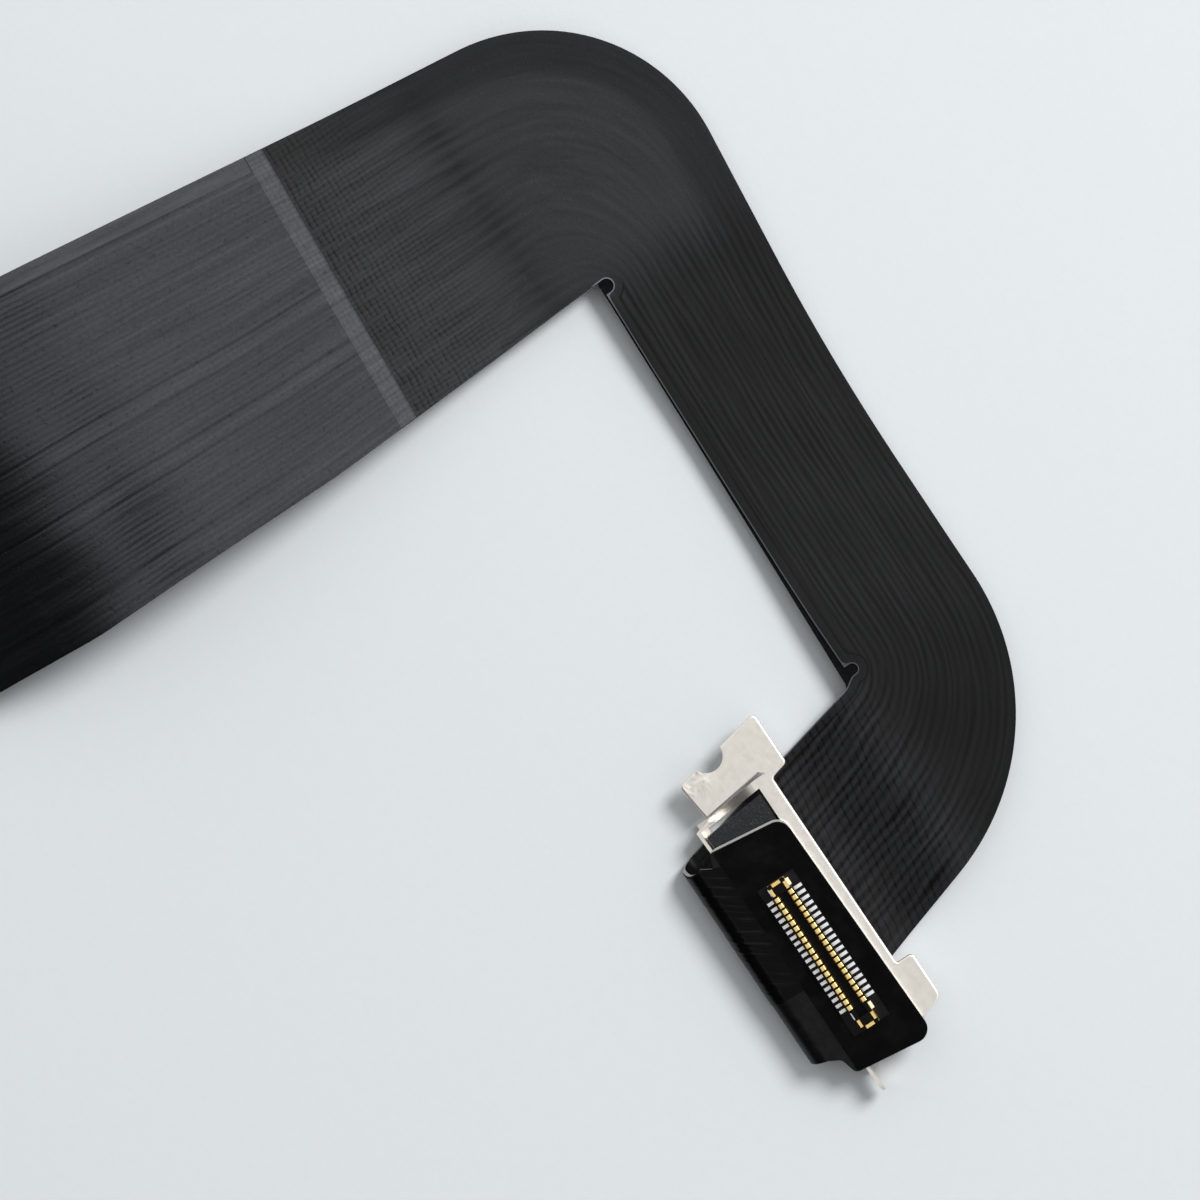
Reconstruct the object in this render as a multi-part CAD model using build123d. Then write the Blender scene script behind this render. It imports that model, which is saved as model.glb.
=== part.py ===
from build123d import *
import math
import os

# Touchpad cable: a shaped flexible circuit with a folded end, a board-to-board plug and a bent
# sheet-metal bracket. Millimetres. +X runs along the plug's contact rows, +Y across them towards
# the middle arm, +Z up from the surface that the cable lies on. The origin is the plug's centre,
# taken down to that surface.

# Sheet stock
FLEX_T = 0.20
FILM_T = 0.05
METAL_T = 0.20
STIFFENER_T = 0.20
FINGER_T = 0.03

# Wide arm and tail, in plan
WIDE_INNER_X = -39.2
INNER_FLARE_Y = -8.0
TAIL_SLANT_Y0 = -25.0
TAIL_SLANT_Y1 = -38.3
TAIL_OUTER_X = -61.0
TAIL_END_Y = -48.0
FLARE_END_Y = -25.8
FLARE_R = 20.0
TAIL_CORNER_R = 0.5

# Corners and middle arm, in plan
CORNER_1 = (-54.60, 22.40)
CORNER_1_R = 11.2
OUTER_BEND = (-28.4, 19.69)
OUTER_BEND_R = 140.0
CORNER_2 = (-2.85, 19.65)
CORNER_2_R = 14.9
MIDDLE_INNER_1_Y = 10.8
MIDDLE_INNER_2_Y = 9.8
LAST_INNER_X = -12.07
LAST_INNER_R = 0.5
SECTION_1_X = -37.0
SECTION_1_Y = 8.0
SECTION_2_X = -14.0

# Relief notches in the two inner corners, cut through the upper ply of the circuit only
RELIEF_1 = (-39.67, 11.20)
RELIEF_1_R = 0.43
RELIEF_2 = (-12.92, 10.66)
RELIEF_2_R = 0.33
RELIEF_2_LIP_Y = 10.28
RELIEF_2_START_X = -20.0

# Heights that the relaxed cable stands at, as corner heights of filleted side profiles
CABLE_LIFT = 1.1
WIDE_ARCH_START_Y = 3.5
WIDE_ARCH_Y = -21.5
WIDE_ARCH_Z = 5.3
WIDE_ARCH_END_Y = -39.0
WIDE_ARCH_FOOT_R = 30.0
WIDE_ARCH_TOP_R = 30.0
SAG_START_X = -34.5
SAG_X = -25.5
SAG_Z = 0.75
SAG_END_X = -16.5
SAG_FOOT_R = 60.0
SAG_MIDDLE_R = 120.0
LAST_RISE_Y0 = 4.6
LAST_RISE_Y1 = 8.9
LAST_RISE_R = 8.0

# Fold, bridge and pad
FOLD_Y = -3.35
FOLD_R = 1.05
FOLD_OUTER_X = 4.65
FOLD_INNER_X = -8.94
FOLD_SHIFT = 0.43
BRIDGE_NECK_LEFT = (-7.66, -2.66)
BRIDGE_NECK_RIGHT = (5.90, -2.66)
NECK_R = 0.25
PAD_Y0 = -2.36
PAD_Y1_LEFT = 2.42
PAD_Y1_RIGHT = 2.75
PAD_X0 = -8.55
PAD_X1 = 6.98
PAD_SKEW_LEFT = 0.60
PAD_SKEW_RIGHT = 0.62
PAD_CORNER_R = 0.85
RIM = 0.12

# Films
FILM_MARGIN = 0.04
PAD_FILM_Y0 = -2.20
PLUG_WINDOW_GAP = 0.06
TAPE_X0 = -7.95
TAPE_X1_TOP = 1.20
TAPE_X1_NOSE = 0.90
TAPE_WRAP_DEG = 205.0
WIDE_FILM_MARGIN = 1.0
SEAM_Y_INNER = -3.44
SEAM_SLOPE = -0.065
SEAM_W = 1.13

# Bracket
STRIP_Y0 = 2.20
STRIP_Y1 = 3.20
EAR_A_TIP_Y = 4.40
EAR_A_X0 = -14.02
EAR_A_X1 = -10.50
EAR_A_ROOT_X = -10.20
EAR_A_FOOT = (-12.78, -1.70)
NOTCH = (-13.45, 0.62)
NOTCH_R = 1.02
EAR_B_X0 = 2.90
EAR_B_X1 = 6.00
EAR_B_TIP_Y = 4.30
EAR_B_FOOT_X = 6.60
EAR_CORNER_R = 0.30
EAR_ROOT_R = 0.16
EAR_B_CORNER_R = 0.60
SLOT_TOP = (-10.92, 2.72)
SLOT_W = 0.24
SLOT_FOOT = (-10.36, -1.40)
SLOT_FOOT_W = 0.10
SLOT_FOOT_R = 0.10
FLANGE_EDGE_R = 0.12
EMBOSS_X0 = 2.20
EMBOSS_X1 = 4.10
EMBOSS_Y1 = 3.07
EMBOSS_R = 0.42
EMBOSS_DEPTH = 0.03
BAND_W = 0.56
BAND_BEND_R = 1.6
BAND_FLAT = 0.6
BAND_RUN_OUT = 0.5
BAND_END_Y = -1.75
TRAY_X0 = -9.85
TRAY_X1 = 6.30
TRAY_BEND_R = 0.25
WALL_X0 = -9.93
WALL_Y0 = -2.39
WALL_X1 = 7.60
TONGUE_X1 = 8.81
TONGUE_Y = -1.72
TONGUE_Z0 = 0.75
TONGUE_CUT = 0.50
WALL_RETURN = (-10.20, -1.46)
BLOCK_GAP = 0.32
BLOCK_DROP = 0.12
BLOCK_CLEAR = 0.16

# Plug
PITCH = 0.40
CONTACTS = 20
ROW_SHIFT = -0.30
PLUG_H = 0.80
HOUSING_HALF_W = 0.72
SIDE_WALL_MARGIN = 0.125
END_L_A = 0.72
END_L_B = 1.32
END_HALF_W = 0.56
GROOVE_HALF_W = 0.32
GROOVE_FLOOR = 0.25
GROOVE_END_A = -0.06
GROOVE_END_B = 0.54
RIB_W = 0.10
RIB_H = 0.07
HOUSING_R = 0.06
CONTACT_T = 0.08
CONTACT_W = 0.27
TAIL_W = 0.20
LEG_OUTER_Y = 0.66
LEG_DEPTH = 0.50
TAIL_TIP_Y = 1.19
CONTACT_R = 0.08
POWER_T = 0.08
POWER_BAND_H = 0.26
POWER_BAND_Z = 0.18
POWER_SIDE_L = 0.47
POWER_SIDE_REACH = 0.17
POWER_END_W = 0.56
POWER_END_REACH = 0.20
POWER_CORNER = 0.24
TAB_L = 0.46
TAB_W = 0.16
TAB_SETBACK_A = 0.20
TAB_SETBACK_B = 0.76

# Tail
TAIL_STIFFENER_L = 6.0
TAIL_MARGIN = 0.10
FINGERS = 40
FINGER_PITCH = 0.50
FINGER_W = 0.30
FINGER_L = 3.2
FINGER_SIDE = 0.40
FINGER_SETBACK = 0.15
TAIL_FILM_GAP = 0.5

# Levels, from the surface up
BRACKET_TOP = 2 * FOLD_R - FLEX_T - STIFFENER_T
PAD_Z = 2 * FOLD_R - FLEX_T
PAD_TOP = 2 * FOLD_R
PLUG_TOP = PAD_TOP + PLUG_H

# Ends of the plug along X, from its rows of contacts: the wide middle, then the whole housing
ROW_HALF = (CONTACTS - 1) * PITCH / 2 + CONTACT_W / 2
MIDDLE_X0 = ROW_SHIFT - ROW_HALF - SIDE_WALL_MARGIN
MIDDLE_X1 = ROW_SHIFT + ROW_HALF + SIDE_WALL_MARGIN
HOUSING_X0 = MIDDLE_X0 - END_L_A
HOUSING_X1 = MIDDLE_X1 + END_L_B

# Inner side of the tail, from its row of fingers
TAIL_INNER_X = TAIL_OUTER_X + (FINGERS - 1) * FINGER_PITCH + FINGER_W + 2 * FINGER_SIDE

# Reach of the working sheets and cuts, past everything that they meet
REACH = -1.5 * TAIL_OUTER_X


def prism(points, z0=-REACH, z1=REACH, radius=0.0):
    """A straight-sided block over a closed outline, its corners rounded where radius says."""
    outline = FilletPolyline(*points, radius=radius, close=True)
    return Pos(0, 0, z0) * extrude(make_face(outline), z1 - z0, dir=(0, 0, 1))


def box(x0, x1, y0, y1, z0, z1):
    """A plain block between two corners."""
    return Pos(x0, y0, z0) * Box(x1 - x0, y1 - y0, z1 - z0, align=(Align.MIN, Align.MIN, Align.MIN))


def side_profile(points, radii, lift, thickness):
    """The section of a sheet that follows a filleted line, lifted off it by an amount."""
    line = FilletPolyline(*points, radius=radii)
    band = offset(line, amount=lift + thickness, side=Side.LEFT)
    face = make_face(band)
    if lift > 0:
        face = face - make_face(offset(line, amount=lift, side=Side.LEFT))
    return face


def across_x(section, x0, x1):
    """A (y, z) section, drawn as (x, y), run from x0 to x1."""
    plane = Plane(origin=(x0, 0, 0), x_dir=(0, 1, 0), z_dir=(1, 0, 0))
    return extrude(plane * section, x1 - x0, dir=(1, 0, 0))


def across_y(section, y0, y1):
    """An (x, z) section, drawn as (x, y), run from y0 to y1."""
    plane = Plane(origin=(0, y0, 0), x_dir=(1, 0, 0), z_dir=(0, -1, 0))
    return extrude(plane * section, y1 - y0, dir=(0, 1, 0))


# Flexible circuit


def wide_profile(lift, thickness):
    """The wide arm's side view along Y, from the tail up over its arch to the first corner."""
    points = [(TAIL_END_Y, STIFFENER_T), (WIDE_ARCH_END_Y, STIFFENER_T), (WIDE_ARCH_Y, WIDE_ARCH_Z),
              (WIDE_ARCH_START_Y, CABLE_LIFT), (SECTION_1_Y, CABLE_LIFT)]
    radii = [WIDE_ARCH_FOOT_R, WIDE_ARCH_TOP_R, WIDE_ARCH_FOOT_R]
    return side_profile(points, radii, lift, thickness)


def middle_profile(lift, thickness):
    """The middle arm's side view along X, sagging a little between the two corners."""
    points = [(SECTION_1_X, CABLE_LIFT), (SAG_START_X, CABLE_LIFT), (SAG_X, SAG_Z), (SAG_END_X, CABLE_LIFT),
              (SECTION_2_X, CABLE_LIFT)]
    return side_profile(points, [SAG_FOOT_R, SAG_MIDDLE_R, SAG_FOOT_R], lift, thickness)


def last_profile(lift, thickness):
    """The last arm's side view along Y, from the fold up to the second corner."""
    points = [(FOLD_Y, 0), (LAST_RISE_Y0, 0), (LAST_RISE_Y1, CABLE_LIFT), (REACH, CABLE_LIFT)]
    return side_profile(points, [LAST_RISE_R, LAST_RISE_R], lift, thickness)


def plan_outline():
    """The die-cut outline of everything below the fold."""
    relief_x, relief_r = RELIEF_1[0], RELIEF_1_R
    points = [(TAIL_INNER_X, TAIL_END_Y), (TAIL_OUTER_X, TAIL_END_Y), (TAIL_OUTER_X, FLARE_END_Y),
              CORNER_1, OUTER_BEND, CORNER_2, (FOLD_OUTER_X, FOLD_Y), (FOLD_INNER_X, FOLD_Y),
              (LAST_INNER_X, MIDDLE_INNER_2_Y), (relief_x + relief_r, MIDDLE_INNER_1_Y),
              (relief_x - relief_r, MIDDLE_INNER_1_Y), (WIDE_INNER_X, INNER_FLARE_Y),
              (WIDE_INNER_X, TAIL_SLANT_Y0), (TAIL_INNER_X, TAIL_SLANT_Y1)]
    radii = [TAIL_CORNER_R, TAIL_CORNER_R, FLARE_R, CORNER_1_R, OUTER_BEND_R, CORNER_2_R, 0, 0,
             LAST_INNER_R, 0, 0, FLARE_R, FLARE_R, FLARE_R]
    return prism(points, radius=radii)


def relief_1():
    """The round-ended notch of the first inner corner, down to the lower ply."""
    x, y = RELIEF_1
    r = RELIEF_1_R
    z0 = CABLE_LIFT + FLEX_T / 2
    mouth = prism([(x - r, y), (x + r, y), (x + r, MIDDLE_INNER_1_Y - r), (x - r, MIDDLE_INNER_1_Y - r)], z0)
    return mouth + Pos(x, y, z0) * extrude(Circle(r), REACH)


def relief_2():
    """The round-ended notch of the second inner corner, with the upper ply drawn back beside it."""
    x, y = RELIEF_2
    r = RELIEF_2_R
    z0 = CABLE_LIFT + FLEX_T / 2
    slope = (MIDDLE_INNER_2_Y - MIDDLE_INNER_1_Y) / (LAST_INNER_X - RELIEF_1[0])
    start_y = MIDDLE_INNER_1_Y + slope * (RELIEF_2_START_X - RELIEF_1[0])
    mouth = prism([(RELIEF_2_START_X, start_y), (x - r, RELIEF_2_LIP_Y), (x - r, y), (x + r, y),
                   (LAST_INNER_X - LAST_INNER_R / 2, MIDDLE_INNER_2_Y), (LAST_INNER_X, MIDDLE_INNER_2_Y - 2 * r),
                   (RELIEF_2_START_X, MIDDLE_INNER_2_Y - 2 * r)], z0)
    return mouth + Pos(x, y, z0) * extrude(Circle(r), REACH)


def lying_sheet(lift, thickness):
    """An unbounded sheet in the form that the cable lies in, cut later by an outline."""
    wide = across_x(wide_profile(lift, thickness), -REACH, SECTION_1_X)
    middle = across_y(middle_profile(lift, thickness), SECTION_1_Y, REACH)
    z0 = CABLE_LIFT + lift
    corner_1 = box(-REACH, SECTION_1_X, SECTION_1_Y, REACH, z0, z0 + thickness)
    corner_2 = across_x(last_profile(lift, thickness), SECTION_2_X, REACH)
    return wide + corner_1 + middle + corner_2


def fold_ring(radius, thickness, start_deg, end_deg):
    """Part of a ring about the fold's axis, as a (y, z) section run along X."""
    ring = Circle(radius) - Circle(radius - thickness)
    wedge = [(0, 0)]
    for step in range(4):
        angle = math.radians(start_deg + (end_deg - start_deg) * step / 3)
        wedge.append((3 * radius * math.cos(angle), 3 * radius * math.sin(angle)))
    section = ring & make_face(Polyline(*wedge, close=True))
    return across_x(Pos(FOLD_Y, FOLD_R) * section, -REACH, REACH)


def fold_half(x0, x1, shift, start_deg, end_deg):
    """One quarter-turn of the fold, its two edges slanting as the folded strip's do."""
    nose = FOLD_Y - FOLD_R
    plan = prism([(x0, FOLD_Y), (x0 + shift, nose), (x1 + shift, nose), (x1, FOLD_Y)])
    return fold_ring(FOLD_R, FLEX_T, start_deg, end_deg) & plan


def pad_points():
    """The pad's four corners in plan, its short edges skewed as the folded strip lies."""
    return [(PAD_X0, PAD_Y0), (PAD_X0 + PAD_SKEW_LEFT, PAD_Y1_LEFT),
            (PAD_X1 + PAD_SKEW_RIGHT, PAD_Y1_RIGHT), (PAD_X1, PAD_Y0)]


def upper_sheet():
    """The bridge and the pad, in one outline above the bracket."""
    left, top_left, top_right, right = pad_points()
    points = [(FOLD_INNER_X + 2 * FOLD_SHIFT, FOLD_Y), BRIDGE_NECK_LEFT, left, top_left, top_right, right,
              BRIDGE_NECK_RIGHT, (FOLD_OUTER_X + 2 * FOLD_SHIFT, FOLD_Y)]
    radii = [0, NECK_R / 2, NECK_R, PAD_CORNER_R, PAD_CORNER_R, PAD_CORNER_R / 2, NECK_R, 0]
    return prism(points, PAD_Z, PAD_TOP, radii)


def flex_circuit():
    """The whole flexible circuit as one bent sheet."""
    lying = (lying_sheet(0, FLEX_T) & plan_outline()) - relief_1() - relief_2()
    lower = fold_half(FOLD_INNER_X, FOLD_OUTER_X, FOLD_SHIFT, 180, 270)
    upper = fold_half(FOLD_INNER_X + 2 * FOLD_SHIFT, FOLD_OUTER_X + 2 * FOLD_SHIFT, -FOLD_SHIFT, 90, 180)
    return lying + lower + upper + upper_sheet()


# Films


def film_strip(y0_inner, y1_inner, slope0, slope1, outer_margin):
    """A film on the wide arm between two lines across it."""
    x0 = -REACH
    x1 = WIDE_INNER_X
    run = x0 - x1
    across = prism([(x1, y0_inner), (x1, y1_inner), (x0, y1_inner + slope1 * run), (x0, y0_inner + slope0 * run)])
    inside = (Pos(outer_margin, 0, 0) * plan_outline()) & (Pos(-FILM_MARGIN, 0, 0) * plan_outline())
    film = across_x(wide_profile(FLEX_T, FILM_T), x0, SECTION_1_X)
    return film & across & inside


def shield_film():
    """The wide arm's shield film, from the seam to the tail's bare fingers."""
    bare = TAIL_END_Y + FINGER_SETBACK + FINGER_L + TAIL_FILM_GAP
    return film_strip(bare, SEAM_Y_INNER, 0, SEAM_SLOPE, WIDE_FILM_MARGIN)


def seam_strip():
    """The narrow lighter strip beside the shield film's end."""
    return film_strip(SEAM_Y_INNER, SEAM_Y_INNER + SEAM_W, SEAM_SLOPE, SEAM_SLOPE, FILM_MARGIN)


def fold_tape():
    """The tape over the bridge and round the fold's nose."""
    nose = FOLD_Y - FOLD_R - FILM_T
    flat = prism([(TAPE_X0, FOLD_Y), (TAPE_X0 + FOLD_SHIFT, PAD_FILM_Y0), (TAPE_X1_TOP, PAD_FILM_Y0),
                  (TAPE_X1_TOP, FOLD_Y)], PAD_TOP, PAD_TOP + FILM_T)
    plan = prism([(TAPE_X0, FOLD_Y), (TAPE_X1_TOP, FOLD_Y), (TAPE_X1_NOSE, nose),
                  (TAPE_X0 - FOLD_SHIFT, nose)])
    return flat + (fold_ring(FOLD_R + FILM_T, FILM_T, 90, TAPE_WRAP_DEG) & plan)


def pad_film():
    """The pad's gloss cover film, open round the plug and its tails."""
    points = pad_points()
    outline = FilletPolyline(*points, radius=[PAD_CORNER_R / 2, PAD_CORNER_R, PAD_CORNER_R, PAD_CORNER_R / 2],
                             close=True)
    face = offset(make_face(outline), -FILM_MARGIN)
    sheet = Pos(0, 0, PAD_TOP) * extrude(face, FILM_T, dir=(0, 0, 1))
    window_y = TAIL_TIP_Y + PLUG_WINDOW_GAP
    window = box(HOUSING_X0 - PLUG_WINDOW_GAP, HOUSING_X1 + PLUG_WINDOW_GAP, -window_y, window_y, 0, REACH)
    return sheet - window - box(-REACH, REACH, -REACH, PAD_FILM_Y0, 0, REACH)


# Bracket and what it holds


def pad_stiffener():
    """The metal sheet under the pad, showing as a rim at the short edge next to ear A."""
    radii = [PAD_CORNER_R / 2, PAD_CORNER_R, PAD_CORNER_R, PAD_CORNER_R / 2]
    return Pos(-RIM, 0, 0) * prism(pad_points(), BRACKET_TOP, PAD_Z, radii)


def flange():
    """The bracket's flat top: the strip with its two ears, the notch and the narrow slot."""
    z0 = BRACKET_TOP - METAL_T
    slot_x = SLOT_TOP[0] + SLOT_W
    points = [(EAR_B_FOOT_X, STRIP_Y0), (EAR_B_X1, EAR_B_TIP_Y), (EAR_B_X0, EAR_B_TIP_Y), (EAR_B_X0, STRIP_Y1),
              (EAR_A_ROOT_X, STRIP_Y1), (EAR_A_X1, EAR_A_TIP_Y), (EAR_A_X0, EAR_A_TIP_Y), EAR_A_FOOT,
              SLOT_FOOT, SLOT_TOP, (slot_x, STRIP_Y1 - METAL_T), (slot_x, STRIP_Y0)]
    radii = [0, EAR_B_CORNER_R, EAR_CORNER_R, EAR_ROOT_R, EAR_CORNER_R, EAR_CORNER_R, EAR_CORNER_R, EAR_CORNER_R,
             SLOT_FOOT_R, 0, 0, 0]
    notch = Pos(NOTCH[0], NOTCH[1], 0) * Cylinder(NOTCH_R, REACH)
    flat = prism(points, z0, BRACKET_TOP, radii)
    rolled = flat.edges().filter_by(lambda edge: edge.center().Z > BRACKET_TOP - METAL_T / 4)
    rolled = rolled.filter_by(lambda edge: edge.center().Y > STRIP_Y1 - METAL_T / 4 or edge.center().X < SLOT_TOP[0])
    emboss = prism([(EMBOSS_X0, STRIP_Y0), (EMBOSS_X0, EMBOSS_Y1), (EMBOSS_X1, EMBOSS_Y1), (EMBOSS_X1, STRIP_Y0)],
                   BRACKET_TOP - EMBOSS_DEPTH, REACH, [0, EMBOSS_R, EMBOSS_R, 0])
    return fillet(rolled, FLANGE_EDGE_R) - notch - emboss


def band():
    """The curved end band that drops from the flange to the tray's floor beside the slot."""
    floor = FLEX_T
    middle = METAL_T / 2
    drop = BRACKET_TOP - METAL_T - floor
    line = FilletPolyline((STRIP_Y0, BRACKET_TOP - middle), (STRIP_Y0 - BAND_FLAT, BRACKET_TOP - middle),
                          (BAND_END_Y + BAND_RUN_OUT, BRACKET_TOP - middle - drop),
                          (BAND_END_Y - BAND_RUN_OUT, floor + middle),
                          radius=[BAND_BEND_R, BAND_BEND_R])
    strap = across_x(trace(line, METAL_T), -REACH, 0)
    x0 = SLOT_TOP[0] + SLOT_W
    x1 = SLOT_FOOT[0] + SLOT_FOOT_W
    y1 = BAND_END_Y - BAND_RUN_OUT
    plan = prism([(x0, STRIP_Y0), (x1, WALL_RETURN[1]), (x1, y1), (x1 + BAND_W, y1), (x0 + BAND_W, STRIP_Y0)])
    return strap & plan


def wall_y(x, extra=0.0):
    """The outer face of the upright wall at a given x, or a line parallel to it."""
    slope = (TONGUE_Y - WALL_Y0) / (TONGUE_X1 - WALL_X0)
    return WALL_Y0 + slope * (x - WALL_X0) + extra


def tray():
    """The folded channel under the pad: its floor and the riser up to the flange."""
    middle = METAL_T / 2
    floor = FLEX_T + middle
    line = FilletPolyline((WALL_Y0 + METAL_T, floor), (STRIP_Y0 + middle, floor),
                          (STRIP_Y0 + middle, BRACKET_TOP - middle), (STRIP_Y1 - middle, BRACKET_TOP - middle),
                          radius=[TRAY_BEND_R, METAL_T])
    x0 = PAD_X0 + RIM
    plan = prism([(x0, wall_y(x0)), (TRAY_X1, wall_y(TRAY_X1)), (TRAY_X1, STRIP_Y1), (x0, STRIP_Y1)])
    return across_x(trace(line, METAL_T), x0, TRAY_X1) & plan


def wall():
    """The upright wall along the fold side, its corner return and its projecting tongue."""
    run = prism([(WALL_X0, WALL_Y0), (TONGUE_X1, wall_y(TONGUE_X1)),
                 (TONGUE_X1, wall_y(TONGUE_X1, METAL_T)), (WALL_X0, WALL_Y0 + METAL_T)], FLEX_T, BRACKET_TOP)
    below_tongue = box(WALL_X1, TONGUE_X1, WALL_Y0, STRIP_Y0, 0, TONGUE_Z0)
    back = prism([(WALL_X0, WALL_Y0), (WALL_X0 + METAL_T, WALL_Y0), (WALL_RETURN[0] + METAL_T, WALL_RETURN[1]),
                  WALL_RETURN], FLEX_T, BRACKET_TOP)
    corner = Pos(TONGUE_X1, 0, BRACKET_TOP) * Rot(0, 45, 0) * Box(TONGUE_CUT, REACH, TONGUE_CUT)
    return (run - below_tongue - corner) + back


def bracket():
    """The stamped and bent bracket as one piece of sheet."""
    floor = box(TRAY_X0, TRAY_X1, WALL_Y0 + METAL_T, BAND_END_Y, FLEX_T, FLEX_T + METAL_T)
    return flange() + band() + tray() + wall() + floor


def backing_pad():
    """The block that fills the bracket's channel up to just under the stiffener."""
    gap_x = SLOT_TOP[0] + SLOT_W + BAND_W + BLOCK_GAP
    foot_x = SLOT_FOOT[0] + SLOT_FOOT_W + BAND_W + BLOCK_GAP
    clear = METAL_T + BLOCK_CLEAR
    y1 = STRIP_Y0 - BLOCK_CLEAR
    return prism([(gap_x, y1), (foot_x, wall_y(foot_x, clear)), (TRAY_X1, wall_y(TRAY_X1, clear)),
                  (TRAY_X1, y1)], FLEX_T + METAL_T, BRACKET_TOP - BLOCK_DROP)


# Plug


def contact(index, side, corner_r):
    """One formed contact: inner leg, top, outer leg and solder tail. side is 1 or -1."""
    x = ROW_SHIFT + (index - (CONTACTS - 1) / 2) * PITCH
    leg_end = PLUG_TOP - LEG_DEPTH
    inner = GROOVE_HALF_W
    outer = LEG_OUTER_Y
    hook = [(inner, leg_end), (inner, PLUG_TOP), (outer, PLUG_TOP), (outer, leg_end),
            (outer - CONTACT_T, leg_end), (outer - CONTACT_T, PLUG_TOP - CONTACT_T),
            (inner + CONTACT_T, PLUG_TOP - CONTACT_T), (inner + CONTACT_T, leg_end)]
    tail = [(outer, leg_end), (outer, PAD_TOP + CONTACT_T), (TAIL_TIP_Y, PAD_TOP + CONTACT_T),
            (TAIL_TIP_Y, PAD_TOP), (outer - CONTACT_T, PAD_TOP), (outer - CONTACT_T, leg_end)]
    hook_face = make_face(FilletPolyline(*hook, radius=[0, corner_r, corner_r, 0, 0, 0, 0, 0], close=True))
    tail_face = make_face(Polyline(*tail, close=True))
    solid = (across_x(hook_face, x - CONTACT_W / 2, x + CONTACT_W / 2)
             + across_x(tail_face, x - TAIL_W / 2, x + TAIL_W / 2))
    return solid if side > 0 else mirror(solid, Plane.XZ)


def power_contact(middle_x, end_x, tab_setback):
    """The saddle over one end block: a band round it, three hooks over its top and two solder tabs."""
    z0 = PAD_TOP + POWER_BAND_Z
    z1 = z0 + POWER_BAND_H
    wall_x = abs(middle_x)
    outer_x = abs(end_x)
    skin = box(wall_x, outer_x, -END_HALF_W, END_HALF_W, z0, z1)
    core = box(0, outer_x - POWER_T, -END_HALF_W + POWER_T, END_HALF_W - POWER_T, 0, REACH)
    solid = skin - core
    end_top = box(outer_x - POWER_END_REACH, outer_x, -POWER_END_W / 2, POWER_END_W / 2,
                  PLUG_TOP - POWER_T, PLUG_TOP)
    end_leg = box(outer_x - POWER_T, outer_x, -POWER_END_W / 2, POWER_END_W / 2, z0, PLUG_TOP)
    solid = solid + end_top + end_leg
    side_x1 = outer_x - POWER_CORNER
    side_x0 = side_x1 - POWER_SIDE_L
    tab_x1 = outer_x - tab_setback
    tab_x0 = tab_x1 - TAB_L
    for hand in (1, -1):
        edge = hand * END_HALF_W
        y_top = sorted((edge, edge - hand * POWER_SIDE_REACH))
        y_leg = sorted((edge, edge - hand * POWER_T))
        y_tab = sorted((edge, edge + hand * TAB_W))
        solid = solid + box(side_x0, side_x1, *y_top, PLUG_TOP - POWER_T, PLUG_TOP)
        solid = solid + box(side_x0, side_x1, *y_leg, z0, PLUG_TOP)
        solid = solid + box(tab_x0, tab_x1, *y_leg, PAD_TOP, z1)
        solid = solid + box(tab_x0, tab_x1, *y_tab, PAD_TOP, PAD_TOP + POWER_T)
    return solid if end_x > 0 else mirror(solid, Plane.YZ)


def connector_housing(power_contacts):
    """The moulded housing: its groove, the ribs between the contacts and every contact's seat."""
    middle = box(MIDDLE_X0, MIDDLE_X1, -HOUSING_HALF_W, HOUSING_HALF_W, PAD_TOP, PLUG_TOP)
    ends = box(HOUSING_X0, HOUSING_X1, -END_HALF_W, END_HALF_W, PAD_TOP, PLUG_TOP)
    floor = PAD_TOP + GROOVE_FLOOR
    groove = box(MIDDLE_X0 - GROOVE_END_A, MIDDLE_X1 + GROOVE_END_B, -GROOVE_HALF_W, GROOVE_HALF_W, floor, REACH)
    body = middle + ends
    body = chamfer(body.edges().filter_by(Axis.Z), HOUSING_R) - groove
    for index in range(CONTACTS - 1):
        x = ROW_SHIFT + (index - CONTACTS / 2 + 1) * PITCH
        body = body + box(x - RIB_W / 2, x + RIB_W / 2, -GROOVE_HALF_W, GROOVE_HALF_W, floor, floor + RIB_H)
    seats = []
    for index in range(CONTACTS):
        seats.append(contact(index, 1, 0))
        seats.append(contact(index, -1, 0))
    return body - seats - power_contacts


# Tail


def tail_stiffener():
    """The backing sheet that the tail stands on."""
    return box(TAIL_OUTER_X + TAIL_MARGIN, TAIL_INNER_X - TAIL_MARGIN, TAIL_END_Y + TAIL_MARGIN,
               TAIL_END_Y + TAIL_STIFFENER_L, 0, STIFFENER_T)


def tail_fingers():
    """The printed contact fingers across the tail's end."""
    centre = (TAIL_OUTER_X + TAIL_INNER_X) / 2
    z0 = STIFFENER_T + FLEX_T
    y0 = TAIL_END_Y + FINGER_SETBACK
    fingers = []
    for index in range(FINGERS):
        x = centre + (index - (FINGERS - 1) / 2) * FINGER_PITCH
        fingers.append(box(x - FINGER_W / 2, x + FINGER_W / 2, y0, y0 + FINGER_L, z0, z0 + FINGER_T))
    return Compound(children=fingers)


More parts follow.
